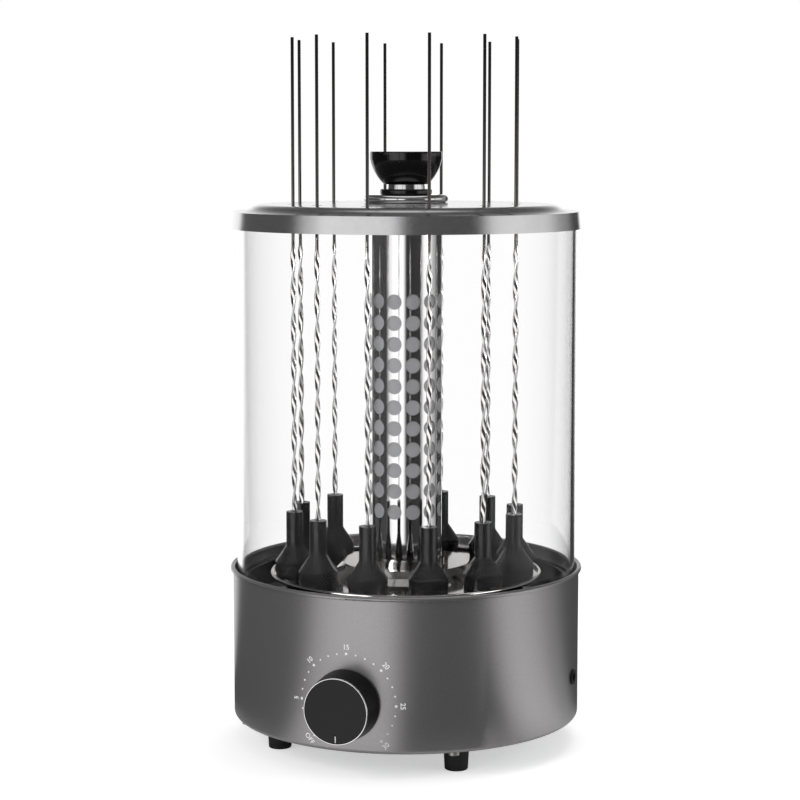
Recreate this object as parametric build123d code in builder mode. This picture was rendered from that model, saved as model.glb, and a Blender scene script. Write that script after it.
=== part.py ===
from build123d import *
from math import acos, atan, cos, degrees, pi, radians, sin, sqrt, tan
import os

# Electric skewer grill: a drum-shaped base with a wind-up timer, a heated column in the
# middle, twelve skewers that each spin in their own cup, a glass cylinder and a lid.
# Millimetres, +Z up, timer knob to the front (-Y), z = 0 at the underside of the feet.

# Drum-shaped base
body_radius = 128.0
shell_wall = 1.0
bead_radius = 1.7
bead_overhang = 2.0
rim_rise = 9.3
bottom_edge_radius = 3.0
bottom_lip_width = 8.0

# Bottom plate and feet
foot_height = 19.5
foot_count = 4
foot_circle = 99.0
foot_angle = 40.0
foot_top_radius = 9.4
foot_bottom_radius = 8.3
foot_edge_radius = 1.0
bottom_plate_thickness = 1.5
bottom_plate_gap = 0.6
vent_count = 12
vent_circle = 58.0
vent_length = 22.0
vent_width = 3.0

# Screws, all alike
screw_radius = 2.0
screw_length = 10.0
screw_clearance = 0.3
screw_head_radius = 3.8
screw_head_height = 2.6
foot_screw_bite = 6.0
lip_screw_angle = 85.0
timer_screw_spacing = 28.0

# Gears; the twelve skewer stations stand where the spindle gears mesh with the big gear
station_count = 12
gear_module = 1.5
pressure_angle = radians(20)
tooth_addendum = 1.2
tooth_dedendum = 1.7
tooth_thinning = 0.22
sun_teeth = 96
spindle_teeth = 15
drive_ring_teeth = 56
pinion_teeth = 12
gear_thickness = 7.0
drive_ring_thickness = 4.0
sun_web = 3.0
sun_rim_width = 5.0
running_gap = 0.06

# Gear deck, its legs and its posts
leg_length = 68.0
leg_radius = 5.5
deck_thickness = 2.0
deck_wall_gap = 15.0
deck_post_radius = 3.2
deck_boss_radius = 5.5
thrust_ring_width = 4.0
gear_lift = 1.0
hub_collar_wall = 2.5
hub_collar_height = 13.0

# Gear motor
motor_radius = 25.0
motor_height = 21.0
motor_offset = 12.0
motor_neck_radius = 5.5
motor_neck_height = 1.6
motor_shaft_radius = 3.5
motor_shaft_depth = 12.0
motor_ear_radius = 4.5
motor_ear_thickness = 1.2

# Spindles between the gears and the cups
journal_radius = 3.0
spindle_radius = 4.0
spindle_shoulder_radius = 6.0
spindle_tip_flats = 6.4
spindle_tip_height = 8.0

# Pan that closes the base and carries the glass
pan_wall = 1.0
pan_lift = 8.0
pan_ledge_rise = 9.5
pan_glass_inset = 3.5
pan_rim_gap = 0.3
pan_collar_wall = 2.4
pan_collar_drop = 3.0
pan_collar_height = 11.2
pan_lip_height = 5.0

# Drip tray
tray_wall = 0.8
tray_cup_margin = 3.25
tray_bead_radius = 1.6
tray_collar_radius = 5.0
tray_collar_wall = 0.8
tray_collar_height = 3.6
hub_rise = 9.0
hub_radius = 47.0
hub_side_width = 5.0
hub_step_drop = 4.4
hub_step_width = 1.6
hub_lip_height = 2.6
hub_tube_gap = 1.1

# Skewer cups
cup_base_radius = 14.2
cup_band_height = 7.6
cup_cone_height = 11.6
cup_tube_radius = 6.2
cup_tube_height = 25.2
cup_recess_inner = 7.4
cup_recess_outer = 12.6
cup_recess_depth = 5.0
cup_tip_gap = 0.3
cup_socket_gap = 0.3
cup_socket_depth = 8.6
cup_bore_radius = 2.7
cup_slot_depth = 6.0
cup_key_gap = 0.35
cup_floor = 1.6
cup_skirt_radius = 13.7
cup_skirt_gap = 0.4

# Skewers
skewer_length = 378.2
skewer_rod_radius = 1.2
blade_length = 223.2
blade_width = 4.0
blade_thickness = 1.5
blade_turns = 4
blade_turn_steps = 12
blade_end_length = 10.0
rod_taper = 5.0

# Guard column and heater
column_radius = 26.5
column_wall = 0.6
column_headroom = 6.5
column_shoulder = 4.0
column_foot_depth = 8.0
hole_rows = 11
hole_columns = 12
hole_radius = 5.55
hole_pitch = 15.37
hole_start = 39.8
mesh_gap = 0.3
mesh_wall = 0.4
heater_radius = 5.5
heater_gap = 0.1
heater_sink = 12.0
socket_gap = 0.3

# Glass cylinder
glass_rim_gap = 2.0
glass_wall = 3.0
glass_height = 269.0

# Lid
lid_sheet = 0.8
skirt_gap = 0.5
skirt_height = 12.4
skirt_flare = 1.2
lid_land_overlap = 0.7
lid_step_inset = 8.0
lid_step_rise = 1.9
lid_shoulder_width = 9.0
lid_shoulder_rise = 5.2
lid_crown_rise = 6.2
lid_curve = 14.4
lid_hole_radius = 4.0

# Lid handle
handle_base_radius = 31.0
handle_base_rise = 5.8
handle_base_foot_radius = 28.8
neck_radius = 14.4
neck_taper = 0.8
neck_height = 7.6
handle_ring_radius = 19.0
handle_ring_height = 4.1
handle_ring_gap = 0.2
handle_ring_edge = 1.2
handle_foot_radius = 16.2
handle_radius = 26.3
handle_height = 23.6
handle_belly_height = 18.6
handle_belly_radius = 23.1
handle_belly_level = 9.0
handle_edge_radius = 0.8
stud_radius = 3.0
stud_gap = 0.2
stud_head_radius = 6.0
stud_head_height = 1.6

# Timer and its knob
timer_rise = 34.5
knob_standoff = 1.4
knob_depth = 20.6
knob_back_radius = 24.8
knob_face_radius = 23.4
knob_wall = 2.4
knob_hub_radius = 7.0
knob_hub_depth = 14.0
trim_width = 0.9
trim_depth = 1.6
index_length = 6.0
index_width = 1.0
index_depth = 0.4
index_edge = 1.4
timer_width = 44.0
timer_height = 44.0
timer_depth = 32.0
timer_corner_radius = 2.4
timer_corner_gap = 0.5
timer_boss_radius = 4.5
timer_neck_radius = 5.0
timer_neck_gap = 0.3
timer_neck_reach = 0.6
timer_shaft_radius = 3.0
timer_shaft_sink = 24.0

# Cord gland
gland_rise = 34.5
gland_bore = 3.2
gland_neck_radius = 4.4
gland_flange_radius = 5.5
gland_flange_thickness = 1.4
gland_inside = 2.5

# Worked out from the sizes above
wall_inside = body_radius - shell_wall
rim_radius = body_radius + bead_overhang
knob_reach = body_radius + knob_standoff + knob_depth
column_y = (knob_reach - rim_radius) / 2
column = Axis((0, column_y, 0), (0, 0, 1))
section = Plane.XZ.offset(-column_y)
station_circle = gear_module * (sun_teeth + spindle_teeth) / 2
station_step = 360 / station_count
front_angle = -90
body_bottom = foot_height
plate_bottom = body_bottom + shell_wall
plate_top = plate_bottom + bottom_plate_thickness
deck_bottom = plate_top + leg_length
deck_top = deck_bottom + deck_thickness
drive_ring_bottom = deck_top + gear_lift
gear_bottom = drive_ring_bottom + drive_ring_thickness
gear_top = gear_bottom + gear_thickness
drive_ring_radius = gear_module * drive_ring_teeth / 2
pinion_distance = drive_ring_radius + gear_module * pinion_teeth / 2
pinion_y = column_y + pinion_distance
motor_y = pinion_distance + motor_offset
hub_collar_radius = column_radius + column_shoulder + hub_collar_wall
column_seat = deck_top + hub_collar_height - socket_gap
heater_socket_top = column_seat + column_foot_depth
pan_floor = gear_top + pan_lift
pan_ledge = pan_floor + pan_ledge_rise
rim_top = pan_ledge + rim_rise
tray_floor = pan_floor + pan_collar_height
tray_top = tray_floor + tray_wall
cup_bottom = tray_top + tray_collar_height
tip_bottom = cup_bottom - cup_tip_gap
blade_bottom = cup_bottom + cup_socket_depth + cup_floor
blade_top = blade_bottom + blade_length
glass_radius = wall_inside - glass_rim_gap
glass_inside = glass_radius - glass_wall
glass_top = pan_ledge + glass_height
column_top = glass_top - column_headroom
lid_land_top = glass_top + lid_sheet
lid_crown = lid_land_top + lid_crown_rise
neck_bottom = lid_crown + handle_base_rise
neck_top = neck_bottom + neck_height
handle_top = neck_top + handle_height
stud_hole_radius = stud_radius + stud_gap
timer_level = body_bottom + timer_rise
gland_level = body_bottom + gland_rise
panel_y = column_y - body_radius
knob_back_y = panel_y - knob_standoff
knob_face_y = column_y - knob_reach
timer_front_y = column_y - sqrt(wall_inside ** 2 - (timer_width / 2) ** 2) + timer_corner_gap


def level(height):
    """Horizontal plane through the grill's axis at a height above the table."""
    return Plane((0, column_y, height))


def facing(y, height):
    """Upright plane that looks to the front, with its origin straight in front of the axis."""
    return Plane((0, y, height), x_dir=(1, 0, 0), z_dir=(0, -1, 0))


def front_station(height):
    """Horizontal plane at the front skewer station, turned so that its x points outwards."""
    return Plane((0, column_y - station_circle, height), x_dir=(0, -1, 0), z_dir=(0, 0, 1))


def gear_points(teeth, steps, tooth_angle=0.0):
    """Outline of a spur gear with involute flanks; one tooth is centred on tooth_angle degrees."""
    pitch_radius = gear_module * teeth / 2
    base_radius = pitch_radius * cos(pressure_angle)
    root_radius = pitch_radius - tooth_dedendum
    tip_radius = pitch_radius + tooth_addendum
    start_radius = max(base_radius, root_radius)
    radii = [start_radius + (tip_radius - start_radius) * i / steps for i in range(steps + 1)]
    if root_radius < base_radius:
        radii = [root_radius] + radii
    half_tooth = pi / (2 * teeth) - tooth_thinning / (2 * pitch_radius)
    half_tooth += tan(pressure_angle) - pressure_angle
    flank = []
    for radius in radii:
        roll = acos(min(1, base_radius / radius))
        flank.append((radius, half_tooth - tan(roll) + roll))
    points = []
    for tooth in range(teeth):
        centre = radians(tooth_angle) + 2 * pi * tooth / teeth
        left = [(radius, centre - half) for radius, half in flank]
        right = [(radius, centre + half) for radius, half in reversed(flank)]
        points += [(radius * cos(turn), radius * sin(turn)) for radius, turn in left + right]
    return points


os.makedirs("parts", exist_ok=True)


# Painted steel drum with a rolled bead at its rim and a lip turned in at its bottom
bead_level = rim_top - bead_radius
bead_circle = rim_radius - bead_radius
outer_turn = body_radius - bottom_edge_radius
lip_edge = outer_turn - bottom_lip_width
lip_screw_circle = (lip_edge + outer_turn) / 2
with BuildPart() as base_shell:
    with BuildSketch(section):
        with BuildLine():
            Polyline((outer_turn, plate_bottom), (lip_edge, plate_bottom), (lip_edge, body_bottom),
                     (outer_turn, body_bottom))
            RadiusArc((outer_turn, body_bottom), (body_radius, body_bottom + bottom_edge_radius),
                      -bottom_edge_radius)
            Polyline((body_radius, body_bottom + bottom_edge_radius), (body_radius, bead_level),
                     (wall_inside, bead_level), (wall_inside, body_bottom + bottom_edge_radius))
            RadiusArc((wall_inside, body_bottom + bottom_edge_radius), (outer_turn, plate_bottom),
                      bottom_edge_radius - shell_wall)
        make_face()
        with Locations((bead_circle, bead_level)):
            Circle(bead_radius)
    revolve(axis=column)
    with BuildSketch(facing(column_y, timer_level)):
        Circle(timer_neck_radius + timer_neck_gap)
        with GridLocations(0, timer_screw_spacing, 1, 2):
            Circle(screw_radius + screw_clearance)
    extrude(amount=rim_radius, mode=Mode.SUBTRACT)
    with BuildSketch(Plane.YZ):
        with Locations((column_y, gland_level)):
            Circle(gland_neck_radius)
    extrude(amount=rim_radius, mode=Mode.SUBTRACT)
    with BuildSketch(level(body_bottom)):
        with PolarLocations(lip_screw_circle, foot_count, start_angle=foot_angle + lip_screw_angle):
            Circle(screw_radius + screw_clearance)
    extrude(amount=shell_wall, mode=Mode.SUBTRACT)
base_shell.part.label = "base_shell"
export_step(base_shell.part, "parts/base_shell.step")

# Steel plate that closes the drum from inside the lip, with vent slots and screw holes
with BuildPart() as bottom_plate:
    with BuildSketch(level(plate_bottom)):
        Circle(outer_turn - bottom_plate_gap)
        with PolarLocations(vent_circle, vent_count):
            SlotOverall(vent_length, vent_width, mode=Mode.SUBTRACT)
        with PolarLocations(foot_circle, foot_count, start_angle=foot_angle + front_angle):
            Circle(screw_radius + screw_clearance, mode=Mode.SUBTRACT)
        with PolarLocations(lip_screw_circle, foot_count, start_angle=foot_angle + lip_screw_angle):
            Circle(screw_radius + screw_clearance, mode=Mode.SUBTRACT)
    extrude(amount=bottom_plate_thickness)
bottom_plate.part.label = "bottom_plate"
export_step(bottom_plate.part, "parts/bottom_plate.step")

# Four tapered rubber feet under the plate, each with a recess for its screw
foot_screw_seat = plate_top + foot_screw_bite - screw_length
with BuildPart() as rubber_feet:
    with BuildSketch(level(0)):
        with PolarLocations(foot_circle, foot_count, start_angle=foot_angle + front_angle):
            Circle(foot_bottom_radius)
    foot_flare = degrees(atan((foot_bottom_radius - foot_top_radius) / plate_bottom))
    extrude(amount=plate_bottom, taper=foot_flare)
    fillet(rubber_feet.faces().group_by(Axis.Z)[0].edges(), foot_edge_radius)
    with BuildSketch(level(0)):
        with PolarLocations(foot_circle, foot_count, start_angle=foot_angle + front_angle):
            Circle(screw_head_radius + screw_clearance)
    extrude(amount=foot_screw_seat, mode=Mode.SUBTRACT)
    with BuildSketch(level(0)):
        with PolarLocations(foot_circle, foot_count, start_angle=foot_angle + front_angle):
            Circle(screw_radius + screw_clearance)
    extrude(amount=plate_bottom, mode=Mode.SUBTRACT)
rubber_feet.part.label = "rubber_feet"
export_step(rubber_feet.part, "parts/rubber_feet.step")

# Twelve like pan-head screws, each plane at its seat and looking along its shank: four up
# through the feet, four up through the drum's lip, two for the motor and two for the timer
motor_ear_x = motor_radius + motor_ear_radius
screw_seats = []
for quarter in range(foot_count):
    foot_spot = Vector(foot_circle, 0, foot_screw_seat)
    lip_spot = Vector(lip_screw_circle, 0, body_bottom)
    turn = foot_angle + 360 * quarter / foot_count
    for spot, heading in ((foot_spot, turn + front_angle), (lip_spot, turn + lip_screw_angle)):
        seat = spot.rotate(Axis.Z, heading)
        screw_seats.append(Plane((seat.X, seat.Y + column_y, seat.Z)))
for side in (-1, 1):
    motor_seat = (side * motor_ear_x, column_y + motor_y, deck_top)
    timer_seat = (0, panel_y, timer_level + side * timer_screw_spacing / 2)
    screw_seats.append(Plane(motor_seat, z_dir=(0, 0, -1)))
    screw_seats.append(Plane(timer_seat, z_dir=(0, 1, 0)))
with BuildPart() as machine_screws:
    for seat in screw_seats:
        with BuildSketch(seat):
            Circle(screw_head_radius)
        extrude(amount=-screw_head_height)
        with BuildSketch(seat):
            Circle(screw_radius)
        extrude(amount=screw_length)
machine_screws.part.label = "machine_screws"
export_step(machine_screws.part, "parts/machine_screws.step")

# Rubber gland in the drum's side, open for the supply cord
gland_start = wall_inside - gland_inside
gland_length = gland_inside + shell_wall + gland_flange_thickness
with BuildPart() as cord_gland:
    with BuildSketch(Plane.YZ.offset(gland_start)):
        with Locations((column_y, gland_level)):
            Circle(gland_flange_radius)
    extrude(amount=gland_length)
    with BuildSketch(level(gland_level - gland_flange_radius)):
        Circle(body_radius)
        Circle(wall_inside, mode=Mode.SUBTRACT)
    extrude(amount=2 * gland_flange_radius, mode=Mode.SUBTRACT)
    with BuildSketch(Plane.YZ.offset(gland_start)):
        with Locations((column_y, gland_level)):
            Circle(gland_neck_radius - running_gap)
    extrude(amount=gland_length)
    with BuildSketch(Plane.YZ.offset(gland_start)):
        with Locations((column_y, gland_level)):
            Circle(gland_bore)
    extrude(amount=gland_length, mode=Mode.SUBTRACT)
cord_gland.part.label = "cord_gland"
export_step(cord_gland.part, "parts/cord_gland.step")

# Moulded deck on four legs: it carries the motor, the gears and, on four posts, the pan
collar_inside = hub_collar_radius - hub_collar_wall
thrust_ring_radius = hub_collar_radius + thrust_ring_width
with BuildPart() as gear_deck:
    with BuildSketch(level(plate_top)):
        with PolarLocations(foot_circle, foot_count, start_angle=foot_angle + front_angle):
            Circle(leg_radius)
    extrude(amount=leg_length)
    with BuildSketch(level(deck_bottom)):
        Circle(wall_inside - deck_wall_gap)
    extrude(amount=deck_thickness)
    with BuildSketch(level(deck_top)):
        with PolarLocations(foot_circle, foot_count, start_angle=foot_angle + front_angle):
            Circle(deck_post_radius)
    extrude(amount=pan_floor - deck_top)
    with BuildSketch(level(deck_top)):
        with PolarLocations(station_circle, station_count, start_angle=front_angle):
            Circle(deck_boss_radius)
    extrude(amount=gear_bottom - deck_top)
    with BuildSketch(level(deck_top)):
        Circle(thrust_ring_radius)
    extrude(amount=gear_lift)
    with BuildSketch(level(deck_top)):
        Circle(hub_collar_radius)
    extrude(amount=hub_collar_height)
    with BuildSketch(level(deck_top)):
        Circle(collar_inside)
    extrude(amount=hub_collar_height, mode=Mode.SUBTRACT)
    with BuildSketch(level(deck_bottom)):
        with PolarLocations(station_circle, station_count, start_angle=front_angle):
            Circle(journal_radius + running_gap)
        with Locations((0, pinion_distance)):
            Circle(motor_neck_radius + screw_clearance)
    extrude(amount=gear_bottom - deck_bottom, mode=Mode.SUBTRACT)
    with BuildSketch(level(deck_bottom)):
        with Locations((motor_ear_x, motor_y), (-motor_ear_x, motor_y)):
            Circle(screw_radius + screw_clearance)
    extrude(amount=deck_thickness, mode=Mode.SUBTRACT)
    with BuildSketch(level(plate_top)):
        with PolarLocations(foot_circle, foot_count, start_angle=foot_angle + front_angle):
            Circle(screw_radius + screw_clearance)
    extrude(amount=foot_screw_bite + screw_clearance, mode=Mode.SUBTRACT)
gear_deck.part.label = "gear_deck"
export_step(gear_deck.part, "parts/gear_deck.step")

# Flat synchronous gear motor hung under the deck, its output off-centre
with BuildPart() as gear_motor:
    with BuildSketch(level(deck_bottom - motor_height)):
        with Locations((0, motor_y)):
            Circle(motor_radius)
    extrude(amount=motor_height)
    fillet(gear_motor.faces().sort_by(Axis.Z)[0].edges(), foot_edge_radius)
    with BuildSketch(level(deck_bottom)):
        with Locations((0, motor_y)):
            SlotCenterToCenter(2 * motor_ear_x, 2 * motor_ear_radius)
    extrude(amount=-motor_ear_thickness)
    with BuildSketch(level(deck_bottom)):
        with Locations((motor_ear_x, motor_y), (-motor_ear_x, motor_y)):
            Circle(screw_radius + screw_clearance)
    extrude(amount=-motor_ear_thickness, mode=Mode.SUBTRACT)
    with BuildSketch(level(deck_bottom)):
        with Locations((0, pinion_distance)):
            Circle(motor_neck_radius)
    extrude(amount=motor_neck_height)
    with BuildSketch(level(deck_bottom + motor_neck_height)):
        with Locations((0, pinion_distance)):
            Circle(motor_shaft_radius + running_gap)
    extrude(amount=-motor_neck_height - motor_shaft_depth, mode=Mode.SUBTRACT)
gear_motor.part.label = "gear_motor"
export_step(gear_motor.part, "parts/gear_motor.step")

# Motor pinion, in mesh with the drive ring of the big gear, in one piece with its shaft
shaft_bottom = deck_bottom - motor_shaft_depth + running_gap
with BuildPart() as drive_pinion:
    with BuildSketch(Plane((0, pinion_y, drive_ring_bottom))):
        Polygon(*gear_points(pinion_teeth, 3, 90 + 180 / pinion_teeth), align=None)
    extrude(amount=drive_ring_thickness - screw_clearance)
    with BuildSketch(Plane((0, pinion_y, shaft_bottom))):
        Circle(motor_shaft_radius)
    extrude(amount=drive_ring_bottom - shaft_bottom)
drive_pinion.part.label = "drive_pinion"
export_step(drive_pinion.part, "parts/drive_pinion.step")

# Big gear round the hub collar: a drive ring below, and the teeth that turn all the spindles
sun_rim_inside = gear_module * sun_teeth / 2 - tooth_dedendum - sun_rim_width
with BuildPart() as sun_gear:
    with BuildSketch(level(gear_bottom)):
        Polygon(*gear_points(sun_teeth, 2, front_angle), align=None)
    extrude(amount=gear_thickness)
    with BuildSketch(level(gear_bottom + sun_web)):
        Circle(sun_rim_inside)
    extrude(amount=gear_thickness - sun_web, mode=Mode.SUBTRACT)
    with BuildSketch(level(drive_ring_bottom)):
        Polygon(*gear_points(drive_ring_teeth, 2, 90), align=None)
    extrude(amount=drive_ring_thickness)
    with BuildSketch(level(drive_ring_bottom)):
        Circle(hub_collar_radius + running_gap)
    extrude(amount=drive_ring_thickness + sun_web, mode=Mode.SUBTRACT)
sun_gear.part.label = "sun_gear"
export_step(sun_gear.part, "parts/sun_gear.step")

# Spindle gear of the front station: journal, gear, shaft through the pan, six-sided tip
pan_collar_bottom = pan_floor - pan_collar_drop
with BuildPart() as front_spindle:
    with BuildSketch(front_station(deck_bottom)):
        Circle(journal_radius)
    extrude(amount=gear_bottom - deck_bottom)
    with BuildSketch(front_station(gear_bottom)):
        Polygon(*gear_points(spindle_teeth, 3), align=None)
    extrude(amount=gear_thickness)
    with BuildSketch(front_station(gear_top)):
        Circle(spindle_shoulder_radius)
    extrude(amount=pan_collar_bottom - gear_top - screw_clearance)
    with BuildSketch(front_station(gear_top)):
        Circle(spindle_radius)
    extrude(amount=tip_bottom - gear_top)
    with BuildSketch(front_station(tip_bottom)):
        RegularPolygon(spindle_tip_flats / 2, 6, major_radius=False)
    extrude(amount=spindle_tip_height)

# The same spindle gear at each of the stations
for number in range(station_count):
    with BuildPart() as spindle_gear:
        add(front_spindle.part.rotate(column, number * station_step))
    spindle_name = f"spindle_gear_{number + 1:02d}"
    spindle_gear.part.label = spindle_name
    export_step(spindle_gear.part, f"parts/{spindle_name}.step")

# Black enamelled pan: ledge for the glass, well, and twelve collars round the spindles
pan_rim_radius = wall_inside - pan_rim_gap
pan_well_radius = glass_inside - pan_glass_inset
pan_hole_radius = column_radius + hub_tube_gap
pan_well_inside = pan_well_radius - pan_wall
with BuildPart() as inner_pan:
    with BuildSketch(section):
        with BuildLine():
            Polyline((pan_hole_radius, pan_floor), (pan_well_radius, pan_floor),
                     (pan_well_radius, pan_ledge - pan_wall), (pan_rim_radius, pan_ledge - pan_wall),
                     (pan_rim_radius, pan_ledge), (pan_well_inside, pan_ledge),
                     (pan_well_inside, pan_floor + pan_wall),
                     (pan_hole_radius + pan_wall, pan_floor + pan_wall),
                     (pan_hole_radius + pan_wall, pan_floor + pan_lip_height),
                     (pan_hole_radius, pan_floor + pan_lip_height), close=True)
        make_face()
    revolve(axis=column)
    with BuildSketch(level(pan_collar_bottom)):
        with PolarLocations(station_circle, station_count, start_angle=front_angle):
            Circle(spindle_radius + pan_collar_wall)
    extrude(amount=pan_collar_drop + pan_collar_height)
    with BuildSketch(level(pan_collar_bottom)):
        with PolarLocations(station_circle, station_count, start_angle=front_angle):
            Circle(spindle_radius + running_gap)
    extrude(amount=pan_collar_drop + pan_collar_height, mode=Mode.SUBTRACT)
inner_pan.part.label = "inner_pan"
export_step(inner_pan.part, "parts/inner_pan.step")

# Polished steel drip tray on the pan's collars: stepped hub, trough, rolled rim, drip collars
tray_hole_radius = column_radius + hub_tube_gap
tray_rim_circle = station_circle + cup_base_radius + tray_cup_margin - tray_bead_radius
hub_top = tray_top + hub_rise
hub_step_top = hub_top - hub_step_drop
hub_step_radius = hub_radius + hub_side_width
hub_foot_radius = hub_step_radius + hub_side_width
hub_lip_radius = tray_hole_radius + tray_wall
with BuildPart() as drip_tray:
    with BuildSketch(section):
        with BuildLine():
            Polyline((tray_hole_radius, hub_top - tray_wall), (hub_radius - tray_wall, hub_top - tray_wall),
                     (hub_step_radius - hub_step_width, hub_step_top - tray_wall),
                     (hub_step_radius, hub_step_top - tray_wall),
                     (hub_foot_radius - tray_wall, tray_floor), (tray_rim_circle, tray_floor),
                     (tray_rim_circle, tray_top), (hub_foot_radius, tray_top),
                     (hub_step_radius + tray_wall, hub_step_top),
                     (hub_step_radius + tray_wall - hub_step_width, hub_step_top),
                     (hub_radius, hub_top), (hub_lip_radius, hub_top),
                     (hub_lip_radius, hub_top + hub_lip_height),
                     (tray_hole_radius, hub_top + hub_lip_height), close=True)
        make_face()
        with Locations((tray_rim_circle, tray_floor + tray_bead_radius)):
            Circle(tray_bead_radius)
    revolve(axis=column)
    with BuildSketch(level(tray_floor)):
        with PolarLocations(station_circle, station_count, start_angle=front_angle):
            Circle(tray_collar_radius + tray_collar_wall)
    extrude(amount=tray_wall + tray_collar_height)
    with BuildSketch(level(tray_floor)):
        with PolarLocations(station_circle, station_count, start_angle=front_angle):
            Circle(tray_collar_radius)
    extrude(amount=tray_wall + tray_collar_height, mode=Mode.SUBTRACT)
drip_tray.part.label = "drip_tray"
export_step(drip_tray.part, "parts/drip_tray.step")

# Cup of the front station: skirt, band, cone and tube, a socket for the spindle tip, a skewer bore
cone_bottom = cup_bottom + cup_band_height
tube_bottom = cone_bottom + cup_cone_height
key_width = blade_width + 2 * cup_key_gap
key_thickness = blade_thickness + 2 * cup_key_gap
with BuildPart() as front_cup:
    with BuildSketch(front_station(cup_bottom)):
        Circle(cup_base_radius)
    extrude(amount=cup_band_height)
    with BuildSketch(front_station(cone_bottom)):
        Circle(cup_base_radius)
    with BuildSketch(front_station(tube_bottom)):
        Circle(cup_tube_radius)
    loft()
    with BuildSketch(front_station(tube_bottom)):
        Circle(cup_tube_radius)
    extrude(amount=cup_tube_height)
    with BuildSketch(front_station(cup_bottom)):
        Circle(cup_recess_outer)
        Circle(cup_recess_inner, mode=Mode.SUBTRACT)
    extrude(amount=cup_recess_depth, mode=Mode.SUBTRACT)
    with BuildSketch(front_station(cup_bottom)):
        Circle(cup_skirt_radius)
        Circle(cup_recess_outer, mode=Mode.SUBTRACT)
    extrude(amount=cup_skirt_gap - tray_collar_height)
    with BuildSketch(front_station(cup_bottom)):
        RegularPolygon(spindle_tip_flats / 2 + cup_socket_gap, 6, major_radius=False)
    extrude(amount=cup_socket_depth, mode=Mode.SUBTRACT)
    with BuildSketch(front_station(blade_bottom)):
        Rectangle(key_width, key_thickness)
    extrude(amount=cup_slot_depth, mode=Mode.SUBTRACT)
    with BuildSketch(front_station(blade_bottom + cup_slot_depth)):
        Circle(cup_bore_radius)
    extrude(amount=tube_bottom + cup_tube_height - blade_bottom - cup_slot_depth, mode=Mode.SUBTRACT)

# The same black cup at each of the stations
for number in range(station_count):
    with BuildPart() as skewer_cup:
        add(front_cup.part.rotate(column, number * station_step))
    cup_name = f"skewer_cup_{number + 1:02d}"
    skewer_cup.part.label = cup_name
    export_step(skewer_cup.part, f"parts/{cup_name}.step")

# Steel skewer of the front station: flat driving end, twisted blade, round rod
twist_bottom = blade_bottom + blade_end_length
twist_steps = blade_turns * blade_turn_steps
twist_rise = (blade_top - twist_bottom) / twist_steps
rod_square = skewer_rod_radius * sqrt(2)
with BuildPart() as front_skewer:
    with BuildSketch(front_station(blade_bottom)):
        Rectangle(blade_width, blade_thickness)
    extrude(amount=blade_end_length)
    for step in range(twist_steps + 1):
        with BuildSketch(front_station(twist_bottom + step * twist_rise)):
            Rectangle(blade_width, blade_thickness, rotation=step * 360 / blade_turn_steps)
    loft(ruled=True)
    with BuildSketch(front_station(blade_top)):
        Rectangle(blade_width, blade_thickness)
    with BuildSketch(front_station(blade_top + rod_taper)):
        Rectangle(rod_square, rod_square)
    loft(ruled=True)
    with BuildSketch(front_station(blade_top)):
        Circle(skewer_rod_radius)
    extrude(amount=skewer_length - blade_length)

# The same skewer at each of the stations
for number in range(station_count):
    with BuildPart() as skewer:
        add(front_skewer.part.rotate(column, number * station_step))
    skewer_name = f"skewer_{number + 1:02d}"
    skewer.part.label = skewer_name
    export_step(skewer.part, f"parts/{skewer_name}.step")

# Ceramic socket in the deck's collar: it carries the heater rod, the mesh and the column
with BuildPart() as heater_socket:
    with BuildSketch(level(deck_top)):
        Circle(collar_inside - socket_gap)
    extrude(amount=column_seat - deck_top)
    with BuildSketch(level(column_seat)):
        Circle(column_radius - column_wall - socket_gap)
    extrude(amount=column_foot_depth)
    with BuildSketch(level(heater_socket_top)):
        Circle(heater_radius + heater_gap)
    extrude(amount=-heater_sink, mode=Mode.SUBTRACT)
heater_socket.part.label = "heater_socket"
export_step(heater_socket.part, "parts/heater_socket.step")

# Straight heater rod, held by the socket below and the column's top above
heater_bottom = heater_socket_top - heater_sink
with BuildPart() as heater_rod:
    with BuildSketch(level(heater_bottom)):
        Circle(heater_radius)
    extrude(amount=column_top - heater_bottom)
heater_rod.part.label = "heater_rod"
export_step(heater_rod.part, "parts/heater_rod.step")

# Fine mesh sleeve inside the column, standing on the socket
mesh_radius = column_radius - column_wall - mesh_gap
with BuildPart() as guard_mesh:
    with BuildSketch(level(heater_socket_top)):
        Circle(mesh_radius)
        Circle(mesh_radius - mesh_wall, mode=Mode.SUBTRACT)
    extrude(amount=column_top - column_wall - heater_socket_top)
guard_mesh.part.label = "guard_mesh"
export_step(guard_mesh.part, "parts/guard_mesh.step")

# Chromed steel column with rows of round holes and a closed top
hole_step = 360 / hole_columns
with BuildPart() as guard_column:
    with BuildSketch(level(column_seat)):
        Circle(column_radius)
        Circle(column_radius - column_wall, mode=Mode.SUBTRACT)
    extrude(amount=column_top - column_wall - column_seat)
    with BuildSketch(level(column_top)):
        Circle(column_radius)
        Circle(heater_radius + heater_gap, mode=Mode.SUBTRACT)
    extrude(amount=-column_wall)
    for column_number in range(hole_columns):
        inward = Vector(0, 1, 0).rotate(Axis.Z, column_number * hole_step)
        start = inward * -column_radius
        hole_face = Plane((start.X, column_y + start.Y, hub_top + hole_start), (0, 0, 1), inward)
        with BuildSketch(hole_face):
            for row in range(hole_rows):
                with Locations((row * hole_pitch, 0)):
                    Circle(hole_radius)
        extrude(amount=column_radius / 2, mode=Mode.SUBTRACT)
guard_column.part.label = "guard_column"
export_step(guard_column.part, "parts/guard_column.step")

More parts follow.
